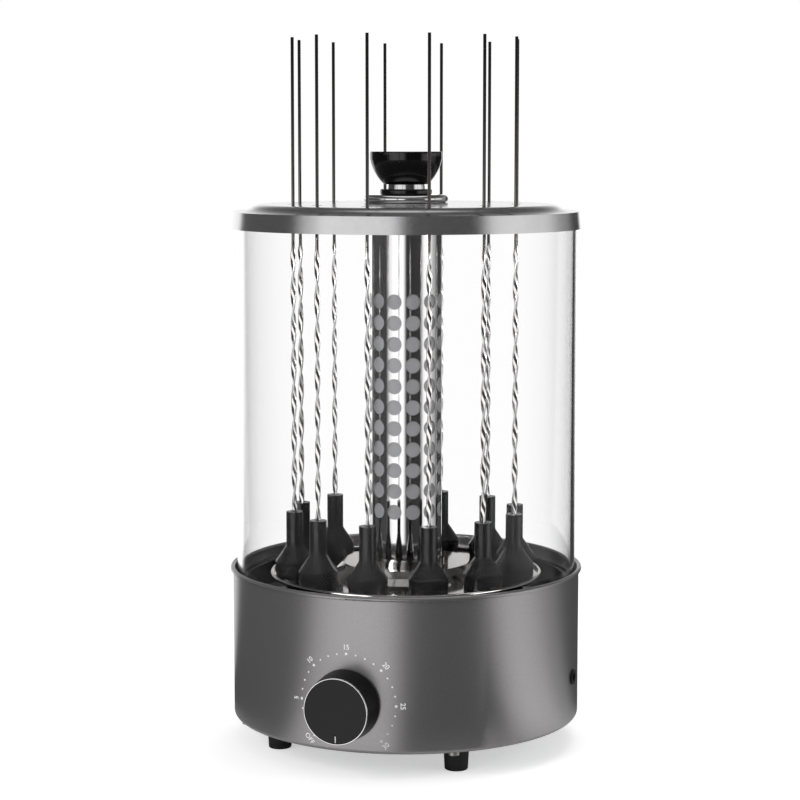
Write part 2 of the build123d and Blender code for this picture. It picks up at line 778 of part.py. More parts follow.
# Glass cylinder, open at both ends, standing on the pan's ledge
with BuildPart() as glass_cylinder:
    with BuildSketch(level(pan_ledge)):
        Circle(glass_radius)
        Circle(glass_inside, mode=Mode.SUBTRACT)
    extrude(amount=glass_height)
glass_cylinder.part.label = "glass_cylinder"
export_step(glass_cylinder.part, "parts/glass_cylinder.step")

# Pressed lid: flared skirt, flat land on the glass, step and crown, twelve skewer holes
skirt_top_radius = glass_radius + skirt_gap + lid_sheet
skirt_bottom_radius = skirt_top_radius + skirt_flare
skirt_bottom = lid_land_top - skirt_height
land_inside = glass_inside - lid_land_overlap
lid_step_radius = glass_inside - lid_step_inset
lid_shoulder_radius = lid_step_radius - lid_shoulder_width
step_top = lid_land_top + lid_step_rise
shoulder_top = lid_land_top + lid_shoulder_rise
with BuildPart() as lid:
    with BuildSketch(section):
        with BuildLine():
            Polyline((skirt_bottom_radius, skirt_bottom), (skirt_top_radius, lid_land_top),
                     (land_inside, lid_land_top), (lid_step_radius, step_top))
            RadiusArc((lid_step_radius, step_top), (lid_shoulder_radius, shoulder_top), -lid_curve)
            Polyline((lid_shoulder_radius, shoulder_top), (handle_base_radius, lid_crown),
                     (stud_hole_radius, lid_crown), (stud_hole_radius, lid_crown - lid_sheet),
                     (handle_base_radius, lid_crown - lid_sheet),
                     (lid_shoulder_radius, shoulder_top - lid_sheet))
            RadiusArc((lid_shoulder_radius, shoulder_top - lid_sheet),
                      (lid_step_radius - lid_sheet, step_top - lid_sheet), lid_curve - lid_sheet)
            Polyline((lid_step_radius - lid_sheet, step_top - lid_sheet), (land_inside, glass_top),
                     (skirt_top_radius - lid_sheet, glass_top),
                     (skirt_bottom_radius - lid_sheet, skirt_bottom), (skirt_bottom_radius, skirt_bottom))
        make_face()
    revolve(axis=column)
    with BuildSketch(level(glass_top)):
        with PolarLocations(station_circle, station_count, start_angle=front_angle):
            Circle(lid_hole_radius)
    extrude(amount=lid_crown - glass_top, mode=Mode.SUBTRACT)
lid.part.label = "lid"
export_step(lid.part, "parts/lid.step")

# Chromed base of the handle: a round-edged disc on the lid and a neck
with BuildPart() as handle_base:
    with BuildSketch(section):
        with BuildLine():
            Polyline((stud_hole_radius, lid_crown), (handle_base_foot_radius, lid_crown))
            ThreePointArc((handle_base_foot_radius, lid_crown),
                          (handle_base_radius, lid_crown + handle_base_rise / 2),
                          (handle_base_foot_radius, neck_bottom))
            Polyline((handle_base_foot_radius, neck_bottom), (neck_radius, neck_bottom),
                     (neck_radius - neck_taper, neck_top), (stud_hole_radius, neck_top),
                     (stud_hole_radius, lid_crown))
        make_face()
    revolve(axis=column)
handle_base.part.label = "handle_base"
export_step(handle_base.part, "parts/handle_base.step")

# Black heat-insulating ring round the neck
with BuildPart() as handle_ring:
    with BuildSketch(level(neck_bottom)):
        Circle(handle_ring_radius)
        Circle(neck_radius + handle_ring_gap, mode=Mode.SUBTRACT)
    extrude(amount=handle_ring_height)
    ring_circles = handle_ring.edges().filter_by(GeomType.CIRCLE)
    fillet(ring_circles.group_by(SortBy.RADIUS)[-1], handle_ring_edge)
handle_ring.part.label = "handle_ring"
export_step(handle_ring.part, "parts/handle_ring.step")

# Black bowl-shaped handle with its stud, riveted over under the lid
lid_underside = lid_crown - lid_sheet
stud_bottom = lid_underside - stud_head_height
with BuildPart() as lid_handle:
    with BuildSketch(section):
        with BuildLine():
            Polyline((0, stud_bottom), (stud_head_radius, stud_bottom), (stud_head_radius, lid_underside),
                     (stud_radius, lid_underside), (stud_radius, neck_top), (handle_foot_radius, neck_top))
            ThreePointArc((handle_foot_radius, neck_top),
                          (handle_belly_radius, neck_top + handle_belly_level),
                          (handle_radius, neck_top + handle_belly_height))
            Polyline((handle_radius, neck_top + handle_belly_height),
                     (handle_radius, handle_top - handle_edge_radius))
            RadiusArc((handle_radius, handle_top - handle_edge_radius),
                      (handle_radius - handle_edge_radius, handle_top), -handle_edge_radius)
            Polyline((handle_radius - handle_edge_radius, handle_top), (0, handle_top), (0, stud_bottom))
        make_face()
    revolve(axis=column)
lid_handle.part.label = "lid_handle"
export_step(lid_handle.part, "parts/lid_handle.step")

# Wind-up timer behind the front of the drum, on two bosses that meet the drum's wall
boss_end_y = column_y - sqrt(wall_inside ** 2 - timer_boss_radius ** 2)
neck_end_y = panel_y - timer_neck_reach
with BuildPart() as timer_body:
    with BuildSketch(facing(timer_front_y, timer_level)):
        RectangleRounded(timer_width, timer_height, timer_corner_radius)
    extrude(amount=-timer_depth)
    with BuildSketch(facing(timer_front_y, timer_level)):
        with GridLocations(0, timer_screw_spacing, 1, 2):
            Circle(timer_boss_radius)
    extrude(amount=timer_front_y - boss_end_y)
    with BuildSketch(facing(timer_front_y, timer_level)):
        Circle(timer_neck_radius)
    extrude(amount=timer_front_y - neck_end_y)
    with BuildSketch(facing(neck_end_y, timer_level)):
        Circle(timer_shaft_radius + running_gap)
    extrude(amount=neck_end_y - timer_front_y - timer_shaft_sink - running_gap, mode=Mode.SUBTRACT)
    with BuildSketch(facing(panel_y, timer_level)):
        with GridLocations(0, timer_screw_spacing, 1, 2):
            Circle(screw_radius + screw_clearance)
    extrude(amount=-screw_length - screw_clearance, mode=Mode.SUBTRACT)
timer_body.part.label = "timer_body"
export_step(timer_body.part, "parts/timer_body.step")

# Timer shaft, from inside the timer to the bottom of the knob's hub
hub_bottom_y = knob_back_y - knob_hub_depth
shaft_end_y = timer_front_y + timer_shaft_sink
with BuildPart() as timer_shaft:
    with BuildSketch(facing(shaft_end_y, timer_level)):
        Circle(timer_shaft_radius)
    extrude(amount=shaft_end_y - hub_bottom_y)
timer_shaft.part.label = "timer_shaft"
export_step(timer_shaft.part, "parts/timer_shaft.step")

# Black knob: hollow tapered cup with a hub on the shaft, a rebate for its trim, an index groove
trim_inside = knob_face_radius - trim_width
knob_taper = degrees(atan((knob_back_radius - knob_face_radius) / knob_depth))
with BuildPart() as timer_knob:
    with BuildSketch(facing(knob_back_y, timer_level)):
        Circle(knob_back_radius)
    extrude(amount=knob_depth, taper=knob_taper)
    with BuildSketch(facing(knob_back_y, timer_level)):
        Circle(knob_back_radius - knob_wall)
        Circle(knob_hub_radius, mode=Mode.SUBTRACT)
    extrude(amount=knob_hub_depth, mode=Mode.SUBTRACT)
    with BuildSketch(facing(knob_back_y, timer_level)):
        Circle(timer_shaft_radius + running_gap)
    extrude(amount=knob_hub_depth, mode=Mode.SUBTRACT)
    with BuildSketch(facing(knob_face_y, timer_level)):
        Circle(knob_back_radius)
        Circle(trim_inside, mode=Mode.SUBTRACT)
    extrude(amount=-trim_depth, mode=Mode.SUBTRACT)
    with BuildSketch(facing(knob_face_y, timer_level)):
        with Locations((0, index_edge + index_length / 2 - knob_face_radius)):
            Rectangle(index_width, index_length)
    extrude(amount=-index_depth, mode=Mode.SUBTRACT)
timer_knob.part.label = "timer_knob"
export_step(timer_knob.part, "parts/timer_knob.step")

# Chromed ring in the rebate of the knob's face
with BuildPart() as knob_trim_ring:
    with BuildSketch(facing(knob_face_y, timer_level)):
        Circle(knob_face_radius)
        Circle(trim_inside, mode=Mode.SUBTRACT)
    extrude(amount=-trim_depth)
knob_trim_ring.part.label = "knob_trim_ring"
export_step(knob_trim_ring.part, "parts/knob_trim_ring.step")
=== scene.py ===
import math

import bmesh
import bpy
from mathutils import Matrix, Vector


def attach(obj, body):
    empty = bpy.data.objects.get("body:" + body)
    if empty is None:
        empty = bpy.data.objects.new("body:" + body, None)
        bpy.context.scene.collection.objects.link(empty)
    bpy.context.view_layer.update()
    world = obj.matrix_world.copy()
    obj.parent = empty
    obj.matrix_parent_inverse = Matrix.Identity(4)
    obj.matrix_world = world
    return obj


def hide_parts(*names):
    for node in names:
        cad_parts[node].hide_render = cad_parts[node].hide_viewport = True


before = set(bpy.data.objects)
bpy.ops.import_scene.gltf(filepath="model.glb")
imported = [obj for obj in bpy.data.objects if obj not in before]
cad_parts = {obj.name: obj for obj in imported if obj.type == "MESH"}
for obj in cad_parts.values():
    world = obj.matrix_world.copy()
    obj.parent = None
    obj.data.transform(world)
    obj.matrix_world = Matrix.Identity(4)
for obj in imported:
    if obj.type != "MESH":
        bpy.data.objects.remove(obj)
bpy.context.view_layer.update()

# ---------------------------------------------------------------------------------------
# Camera
# One long lens to the right of the timer knob and a little higher than the lid, so the
# drum, the tray and the lid are all seen slightly from above.
# ---------------------------------------------------------------------------------------
MM = 0.001
drum_axis = Vector((0.0, 10.0 * MM, 0.0))
camera_turn = math.radians(18.85)
camera_distance = 1608.3 * MM
camera_height = 439.4 * MM
camera_drop = math.radians(6.635)
aim_left = 4.4 * MM
sensor_mm = 36.0
lens_mm = 98.77
camera_near = 0.05

to_camera = Vector((math.sin(camera_turn), -math.cos(camera_turn), 0.0))
camera_right = Vector((math.cos(camera_turn), math.sin(camera_turn), 0.0))
camera_spot = drum_axis + to_camera * camera_distance + Vector((0.0, 0.0, camera_height))
aim_height = camera_height - camera_distance * math.tan(camera_drop)
aim_spot = drum_axis - camera_right * aim_left + Vector((0.0, 0.0, aim_height))

camera_data = bpy.data.cameras.new("photo_camera")
camera_data.lens = lens_mm
camera_data.sensor_width = sensor_mm
camera_data.clip_start = camera_near
camera = bpy.data.objects.new("photo_camera", camera_data)
camera.location = camera_spot
camera.rotation_euler = (aim_spot - camera_spot).to_track_quat("-Z", "Y").to_euler()
bpy.context.scene.collection.objects.link(camera)
bpy.context.scene.camera = camera
bpy.context.scene.view_settings.view_transform = "Standard"


# ---------------------------------------------------------------------------------------
# Room
# A white studio: what is looked at directly or through the glass is plain white, and what
# is mirrored in metal and paint is a white room with tall dark cards standing and lying in
# it. Matt surfaces are lit evenly from all round, and by three soft lamps.
# ---------------------------------------------------------------------------------------
def linear(hex_code):
    """A colour written as sRGB hex, in linear light with full alpha."""
    steps = [int(hex_code[i:i + 2], 16) / 255 for i in (1, 3, 5)]
    return tuple(s / 12.92 if s <= 0.04045 else ((s + 0.055) / 1.055) ** 2.4 for s in steps) + (1.0,)


def add_node(tree, kind, settings=None, links=None):
    """Adds a shader node. Settings name its properties or input sockets, links its inputs."""
    made = tree.nodes.new("ShaderNode" + kind)
    for key, value in (settings or {}).items():
        if isinstance(key, str) and hasattr(made, key):
            setattr(made, key, value)
        else:
            made.inputs[key].default_value = value
    for key, source in (links or {}).items():
        tree.links.new(source, made.inputs[key])
    return made


standing_cards = (
    # share of a full turn from the back, seen from above; grey level
    (0.000, 1.00), (0.105, 1.00), (0.128, 0.05), (0.275, 0.04), (0.318, 0.60), (0.350, 1.00),
    (0.470, 1.00), (0.508, 0.03), (0.625, 0.03), (0.668, 0.85), (0.700, 0.88), (0.775, 0.72),
    (0.850, 0.28), (0.900, 0.04), (0.935, 0.04), (0.958, 1.00),
)
lying_cards = (
    # the same two values, for the cards that lie on the floor
    (0.000, 1.00), (0.105, 1.00), (0.128, 0.05), (0.315, 0.04), (0.362, 0.80), (0.390, 1.00),
    (0.470, 1.00), (0.508, 0.03), (0.625, 0.03), (0.665, 0.85), (0.690, 1.00), (0.720, 0.85),
    (0.775, 0.38), (0.830, 0.04), (0.935, 0.04), (0.958, 1.00),
)


def set_greys(ramp, greys):
    """Fills a colour ramp with grey stops: places along it and grey levels."""
    for number, (place, grey) in enumerate(greys):
        stop = ramp.elements[number] if number < 2 else ramp.elements.new(place)
        stop.position = place
        stop.color = (grey, grey, grey, 1.0)


def card_ring(tree, way, card_edges):
    """Grey level of the cards round the room, by the angle of a direction or a place on the floor."""
    turned = add_node(tree, "Mapping", {"vector_type": "POINT", "Rotation": (0.0, 0.0, -camera_turn)},
                      {"Vector": way})
    parts = add_node(tree, "SeparateXYZ", None, {"Vector": turned.outputs["Vector"]})
    back = add_node(tree, "Math", {"operation": "MULTIPLY", 1: -1.0}, {0: parts.outputs["Y"]})
    angle = add_node(tree, "Math", {"operation": "ARCTAN2"},
                     {0: parts.outputs["X"], 1: back.outputs["Value"]})
    share = add_node(tree, "MapRange", {"From Min": -math.pi, "From Max": math.pi},
                     {"Value": angle.outputs["Value"]})
    ring = add_node(tree, "ValToRGB", None, {"Fac": share.outputs["Result"]})
    ring.color_ramp.interpolation = "EASE"
    set_greys(ring.color_ramp, card_edges)
    return ring.outputs["Color"]


def seen_directly(tree):
    """1 for what the camera sees, also through glass, and 0 for what is mirrored or lit by it."""
    ray = add_node(tree, "LightPath")
    bounced = add_node(tree, "Math", {"operation": "ADD", "use_clamp": True},
                       {0: ray.outputs["Glossy Depth"], 1: ray.outputs["Diffuse Depth"]})
    straight = add_node(tree, "Math", {"operation": "SUBTRACT", 0: 1.0}, {1: bounced.outputs["Value"]})
    through = add_node(tree, "Math", {"operation": "MULTIPLY"},
                       {0: ray.outputs["Is Transmission Ray"], 1: straight.outputs["Value"]})
    seen = add_node(tree, "Math", {"operation": "MAXIMUM"},
                    {0: ray.outputs["Is Camera Ray"], 1: through.outputs["Value"]})
    return seen.outputs["Value"]


def seen_mirrored(tree):
    """1 for what is mirrored in a glossy surface, also through glass."""
    ray = add_node(tree, "LightPath")
    mirrored = add_node(tree, "Math", {"operation": "MINIMUM", 1: 1.0}, {0: ray.outputs["Glossy Depth"]})
    plain = add_node(tree, "Math", {"operation": "SUBTRACT", 0: 1.0}, {1: ray.outputs["Is Diffuse Ray"]})
    both = add_node(tree, "Math", {"operation": "MULTIPLY"},
                    {0: mirrored.outputs["Value"], 1: plain.outputs["Value"]})
    return both.outputs["Value"]


world = bpy.data.worlds.new("studio")
bpy.context.scene.world = world
world.use_nodes = True
sky = world.node_tree
sky.nodes.clear()
sky_way = add_node(sky, "TexCoord")
cards = card_ring(sky, sky_way.outputs["Generated"], standing_cards)
sky_parts = add_node(sky, "SeparateXYZ", None, {"Vector": sky_way.outputs["Generated"]})
sky_height = sky_parts.outputs["Z"]
ceiling = (
    # height of the direction, level 0 and straight up 1; grey level
    (0.00, 1.00), (0.10, 1.00), (0.19, 0.62), (0.26, 0.34), (0.40, 0.12), (0.60, 0.05),
    (0.80, 0.05), (0.90, 0.60), (1.00, 0.60),
)
cards_fade_from = 0.18
cards_fade_to = 0.34
card_light = 1.22
room_light = 0.45
overhead = add_node(sky, "ValToRGB", None, {"Fac": sky_height})
set_greys(overhead.color_ramp, ceiling)
above_cards = add_node(sky, "MapRange", {"From Min": cards_fade_from, "From Max": cards_fade_to},
                       {"Value": sky_height})
# A Mix node of plain numbers has its factor at input 0 and its two values at 2 and 3.
wall = add_node(sky, "Mix", {"data_type": "FLOAT", 3: 1.0}, {0: above_cards.outputs["Result"], 2: cards})
ceiling_cards = add_node(sky, "Math", {"operation": "MULTIPLY"},
                         {0: wall.outputs[0], 1: overhead.outputs["Color"]})
mirrored_sky = add_node(sky, "Math", {"operation": "MULTIPLY", 1: card_light},
                        {0: ceiling_cards.outputs["Value"]})
sky_ray = add_node(sky, "LightPath")
lit = add_node(sky, "Mix", {"data_type": "FLOAT", 3: room_light},
               {0: sky_ray.outputs["Is Diffuse Ray"], 2: mirrored_sky.outputs["Value"]})
sky_level = add_node(sky, "Mix", {"data_type": "FLOAT", 3: 1.0}, {0: seen_directly(sky), 2: lit.outputs[0]})
sky_white = add_node(sky, "Background", {"Color": linear("#ffffff")}, {"Strength": sky_level.outputs[0]})
add_node(sky, "OutputWorld", None, {"Surface": sky_white.outputs["Background"]})


def new_material(name):
    """An empty node material and its tree."""
    material = bpy.data.materials.new(name)
    material.use_nodes = True
    material.node_tree.nodes.clear()
    return material, material.node_tree


def link_object(name, mesh, material):
    """Puts a mesh in the scene as an object with one material."""
    mesh.materials.append(material)
    made = bpy.data.objects.new(name, mesh)
    bpy.context.scene.collection.objects.link(made)
    return made


floor_size = 40.0
shadow_near = 0.30
shadow_far = 0.95
card_near = 0.135
card_far = 0.19
paper_glow = 0.50
paper, tree = new_material("white_paper_floor")
spot = add_node(tree, "TexCoord")
reach = add_node(tree, "VectorMath", {"operation": "LENGTH"}, {0: spot.outputs["Object"]})
fade = add_node(tree, "MapRange", {"interpolation_type": "SMOOTHSTEP", "From Min": shadow_near,
                                   "From Max": shadow_far}, {"Value": reach.outputs["Value"]})
looked_at = seen_directly(tree)
lift = add_node(tree, "Math", {"operation": "MULTIPLY", 1: paper_glow}, {0: looked_at})
far = add_node(tree, "Math", {"operation": "MULTIPLY"}, {0: fade.outputs["Result"], 1: looked_at})
matt = add_node(tree, "BsdfDiffuse", {"Color": linear("#e6e6e6")})
glow = add_node(tree, "Emission", {"Color": linear("#ffffff")}, {"Strength": lift.outputs["Value"]})
near_floor = add_node(tree, "AddShader", None, {0: matt.outputs["BSDF"], 1: glow.outputs["Emission"]})
white = add_node(tree, "Emission", {"Color": linear("#ffffff"), "Strength": 1.0})
paper_seen = add_node(tree, "MixShader", None, {0: far.outputs["Value"], 1: near_floor.outputs["Shader"],
                                                2: white.outputs["Emission"]})
floor_cards = card_ring(tree, spot.outputs["Object"], lying_cards)
card_start = add_node(tree, "MapRange", {"From Min": card_near, "From Max": card_far},
                      {"Value": reach.outputs["Value"]})
card_share = add_node(tree, "Math", {"operation": "MULTIPLY"},
                      {0: seen_mirrored(tree), 1: card_start.outputs["Result"]})
card = add_node(tree, "Emission", {"Strength": card_light}, {"Color": floor_cards})
mixed = add_node(tree, "MixShader", None, {0: card_share.outputs["Value"], 1: paper_seen.outputs["Shader"],
                                           2: card.outputs["Emission"]})
add_node(tree, "OutputMaterial", None, {"Surface": mixed.outputs["Shader"]})
form = bmesh.new()
bmesh.ops.create_grid(form, x_segments=1, y_segments=1, size=floor_size / 2)
floor_mesh = bpy.data.meshes.new("floor")
form.to_mesh(floor_mesh)
form.free()
floor = link_object("floor", floor_mesh, paper)

lamp_aim = drum_axis + Vector((0.0, 0.0, 0.22))
lamps = (
    # name, degrees to the right of the camera, height, distance, size, watts
    ("key_softbox", -48.0, 0.95, 1.7, 1.1, 17.0),
    ("fill_softbox", 70.0, 0.75, 1.8, 1.0, 10.0),
    ("top_softbox", 150.0, 2.0, 0.7, 1.2, 12.0),
)
for lamp_name, turn, height, distance, size, watts in lamps:
    lamp_data = bpy.data.lights.new(lamp_name, "AREA")
    lamp_data.shape = "DISK"
    lamp_data.size = size
    lamp_data.energy = watts
    lamp = bpy.data.objects.new(lamp_name, lamp_data)
    heading = Matrix.Rotation(math.radians(turn), 3, "Z") @ to_camera
    lamp.location = drum_axis + heading * distance + Vector((0.0, 0.0, height))
    lamp.rotation_euler = (lamp_aim - lamp.location).to_track_quat("-Z", "Y").to_euler()
    lamp.visible_glossy = False
    bpy.context.scene.collection.objects.link(lamp)


# ---------------------------------------------------------------------------------------
# Drum
# Pressed sheet steel with a satin gunmetal powder coat. The flake in the paint makes it
# shine like dull metal, and the coat has the faint orange peel of a baked powder.
# ---------------------------------------------------------------------------------------
def smooth_mesh(form, name, sharp_degrees):
    """Makes a mesh of a bmesh, smooth between the edges that are sharper than an angle."""
    for face in form.faces:
        face.smooth = True
    mesh = bpy.data.meshes.new(name)
    form.to_mesh(mesh)
    form.free()
    if "custom_normal" in mesh.attributes:
        mesh.attributes.remove(mesh.attributes["custom_normal"])
    mesh.set_sharp_from_angle(angle=math.radians(sharp_degrees))
    return mesh


least_slope = 0.02
least_match = 0.96


def true_round(mesh, middle):
    """Points the corner normals of a round piece's walls straight away from its upright axis."""
    corners = []
    for loop in mesh.loops:
        arm = mesh.vertices[loop.vertex_index].co - middle
        out = Vector((arm.x, arm.y, 0.0)).normalized()
        normal = mesh.corner_normals[loop.index].vector
        level = Vector((normal.x, normal.y, 0.0))
        if level.length > least_slope and abs(level.normalized().dot(out)) > least_match:
            out *= level.length if level.dot(out) > 0.0 else -level.length
            normal = Vector((out.x, out.y, normal.z))
        corners.append(normal.normalized())
    mesh.normals_split_custom_set(corners)


def stand_in(node, mesh, body, material):
    """Puts a mesh in the place of a CAD node, with its finish, on its body."""
    piece = link_object(node + "_piece", mesh, material)
    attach(piece, body)
    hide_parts(node)
    return piece


weld_mm = 0.002
solid_edge_degrees = 28.0


def dress(node, body, material, round_about=None):
    """Stands a copy in for a CAD node, its triangles joined and smooth between its real edges."""
    form = bmesh.new()
    form.from_mesh(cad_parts[node].data)
    bmesh.ops.remove_doubles(form, verts=form.verts, dist=weld_mm * MM)
    mesh = smooth_mesh(form, node + "_piece", solid_edge_degrees)
    if round_about is not None:
        true_round(mesh, round_about)
    stand_in(node, mesh, body, material)


peel_mm = 1.1
flake_mm = 0.35
gunmetal, tree = new_material("gunmetal_powder_coat")
spot = add_node(tree, "TexCoord")
flake = add_node(tree, "TexNoise", {"Scale": 1 / (flake_mm * MM), "Detail": 1.0},
                 {"Vector": spot.outputs["Object"]})
flake_colour = add_node(tree, "ValToRGB", None, {"Fac": flake.outputs["Fac"]})
flake_colour.color_ramp.elements[0].position = 0.30
flake_colour.color_ramp.elements[0].color = linear("#8f8d8e")
flake_colour.color_ramp.elements[1].position = 0.72
flake_colour.color_ramp.elements[1].color = linear("#a3a1a2")
peel = add_node(tree, "TexNoise", {"Scale": 1 / (peel_mm * MM), "Detail": 2.0},
                {"Vector": spot.outputs["Object"]})
peel_bump = add_node(tree, "Bump", {"Strength": 0.10, "Distance": 0.02 * MM}, {"Height": peel.outputs["Fac"]})
coat = add_node(tree, "BsdfPrincipled", {"Metallic": 0.80, "Roughness": 0.30, "Coat Weight": 0.10,
                                         "Coat Roughness": 0.25},
                {"Base Color": flake_colour.outputs["Color"], "Normal": peel_bump.outputs["Normal"]})
add_node(tree, "OutputMaterial", None, {"Surface": coat.outputs["BSDF"]})
dress("base_shell", "base", gunmetal, round_about=drum_axis)

# ---------------------------------------------------------------------------------------
# Bottom plate and gear motor
# Zinc-plated steel sheet: the plate has pressed vent slots and is screwed on from below, and
# the motor has a case of the same sheet. The zinc has large faint crystals and dulls unevenly.
# ---------------------------------------------------------------------------------------
spangle_mm = 9.0
galvanised, tree = new_material("galvanised_sheet")
spot = add_node(tree, "TexCoord")
spangle = add_node(tree, "TexVoronoi", {"Scale": 1 / (spangle_mm * MM)}, {"Vector": spot.outputs["Object"]})
spangle_grey = add_node(tree, "ValToRGB", None, {"Fac": spangle.outputs["Color"]})
spangle_grey.color_ramp.elements[0].color = linear("#8f9396")
spangle_grey.color_ramp.elements[1].color = linear("#a9adb0")
dulling = add_node(tree, "MapRange", {"To Min": 0.30, "To Max": 0.46}, {"Value": spangle.outputs["Distance"]})
zinc = add_node(tree, "BsdfPrincipled", {"Metallic": 1.0},
                {"Base Color": spangle_grey.outputs["Color"], "Roughness": dulling.outputs["Result"]})
add_node(tree, "OutputMaterial", None, {"Surface": zinc.outputs["BSDF"]})
dress("bottom_plate", "base", galvanised)
dress("gear_motor", "base", galvanised)

# ---------------------------------------------------------------------------------------
# Feet and cord gland
# Moulded black rubber: matt, with a fine grain from the mould. The feet are screwed on
# from below, and the gland lines the cord's hole in the drum's right side.
# ---------------------------------------------------------------------------------------
grain_mm = 0.6
rubber, tree = new_material("moulded_black_rubber")
spot = add_node(tree, "TexCoord")
grain = add_node(tree, "TexNoise", {"Scale": 1 / (grain_mm * MM), "Detail": 3.0},
                 {"Vector": spot.outputs["Object"]})
grain_bump = add_node(tree, "Bump", {"Strength": 0.35, "Distance": 0.05 * MM},
                      {"Height": grain.outputs["Fac"]})
bloom = add_node(tree, "MapRange", {"To Min": 0.48, "To Max": 0.68}, {"Value": grain.outputs["Fac"]})
soft = add_node(tree, "BsdfPrincipled", {"Base Color": linear("#0e0e0e")},
                {"Roughness": bloom.outputs["Result"], "Normal": grain_bump.outputs["Normal"]})
add_node(tree, "OutputMaterial", None, {"Surface": soft.outputs["BSDF"]})
dress("rubber_feet", "base", rubber)
dress("cord_gland", "base", rubber)

# ---------------------------------------------------------------------------------------
# Screws and timer shaft
# Turned steel with a bright zinc plating, slightly yellowed. The screws hold the feet, the
# plate, the motor and the timer, and the shaft carries the timer knob.
# ---------------------------------------------------------------------------------------
turning_mm = 0.25
plated, tree = new_material("zinc_plated_steel")
spot = add_node(tree, "TexCoord")
turning = add_node(tree, "TexNoise", {"Scale": 1 / (turning_mm * MM), "Detail": 1.0},
                   {"Vector": spot.outputs["Object"]})
turned = add_node(tree, "MapRange", {"To Min": 0.24, "To Max": 0.38}, {"Value": turning.outputs["Fac"]})
bright = add_node(tree, "BsdfPrincipled", {"Base Color": linear("#b9b8b0"), "Metallic": 1.0},
                  {"Roughness": turned.outputs["Result"]})
add_node(tree, "OutputMaterial", None, {"Surface": bright.outputs["BSDF"]})
dress("machine_screws", "base", plated)
dress("timer_shaft", "timer_dial", plated)

# ---------------------------------------------------------------------------------------
# Gear deck, timer and socket
# Inside the drum: a dark glass-filled nylon deck and timer case, and a ceramic socket for
# the heater. Glass-filled mouldings are dull and slightly mottled.
# ---------------------------------------------------------------------------------------
mottle_mm = 2.5
filled_nylon, tree = new_material("glass_filled_nylon")
spot = add_node(tree, "TexCoord")
mottle = add_node(tree, "TexNoise", {"Scale": 1 / (mottle_mm * MM), "Detail": 4.0},
                  {"Vector": spot.outputs["Object"]})
mottle_grey = add_node(tree, "ValToRGB", None, {"Fac": mottle.outputs["Fac"]})
mottle_grey.color_ramp.elements[0].color = linear("#262627")
mottle_grey.color_ramp.elements[1].color = linear("#363637")
nylon = add_node(tree, "BsdfPrincipled", {"Roughness": 0.55}, {"Base Color": mottle_grey.outputs["Color"]})
add_node(tree, "OutputMaterial", None, {"Surface": nylon.outputs["BSDF"]})
dress("gear_deck", "base", filled_nylon)
dress("timer_body", "base", filled_nylon)

speck_mm = 0.8
steatite, tree = new_material("fired_steatite")
spot = add_node(tree, "TexCoord")
speck = add_node(tree, "TexNoise", {"Scale": 1 / (speck_mm * MM), "Detail": 2.0},
                 {"Vector": spot.outputs["Object"]})
speck_tone = add_node(tree, "ValToRGB", None, {"Fac": speck.outputs["Fac"]})
speck_tone.color_ramp.elements[0].color = linear("#cfc6b4")
speck_tone.color_ramp.elements[1].color = linear("#e4dccb")
fired = add_node(tree, "BsdfPrincipled", {"Roughness": 0.62}, {"Base Color": speck_tone.outputs["Color"]})
add_node(tree, "OutputMaterial", None, {"Surface": fired.outputs["BSDF"]})
dress("heater_socket", "base", steatite)

# ---------------------------------------------------------------------------------------
# Gears and spindles
# Moulded natural acetal, ivory white and slightly waxy. The pinion on the motor turns the
# large gear, and that turns twelve spindles, whose tips stand up through the pan.
# ---------------------------------------------------------------------------------------
wax_mm = 4.0
acetal, tree = new_material("natural_acetal")
spot = add_node(tree, "TexCoord")
wax = add_node(tree, "TexNoise", {"Scale": 1 / (wax_mm * MM), "Detail": 2.0},
               {"Vector": spot.outputs["Object"]})
wax_tone = add_node(tree, "ValToRGB", None, {"Fac": wax.outputs["Fac"]})
wax_tone.color_ramp.elements[0].color = linear("#d4d0c2")
wax_tone.color_ramp.elements[1].color = linear("#e2dfd3")
waxy = add_node(tree, "BsdfPrincipled", {"Roughness": 0.38}, {"Base Color": wax_tone.outputs["Color"]})
add_node(tree, "OutputMaterial", None, {"Surface": waxy.outputs["BSDF"]})
dress("sun_gear", "big_gear", acetal)
dress("drive_pinion", "motor_pinion", acetal)
stations = range(1, 13)
for number in stations:
    dress(f"spindle_gear_{number:02d}", f"spindle_{number:02d}", acetal)

# ---------------------------------------------------------------------------------------
# Pan
# Deep-drawn sheet steel in glossy black vitreous enamel, which runs slightly uneven as it
# melts and is as smooth as glass.
# ---------------------------------------------------------------------------------------
run_mm = 12.0
enamel, tree = new_material("black_vitreous_enamel")
spot = add_node(tree, "TexCoord")
run = add_node(tree, "TexNoise", {"Scale": 1 / (run_mm * MM), "Detail": 2.0},
               {"Vector": spot.outputs["Object"]})
run_bump = add_node(tree, "Bump", {"Strength": 0.10, "Distance": 0.12 * MM}, {"Height": run.outputs["Fac"]})
glaze = add_node(tree, "BsdfPrincipled", {"Base Color": linear("#060606"), "Roughness": 0.09,
                                          "Specular IOR Level": 0.25},
                 {"Normal": run_bump.outputs["Normal"]})
add_node(tree, "OutputMaterial", None, {"Surface": glaze.outputs["BSDF"]})
dress("inner_pan", "base", enamel, round_about=drum_axis)

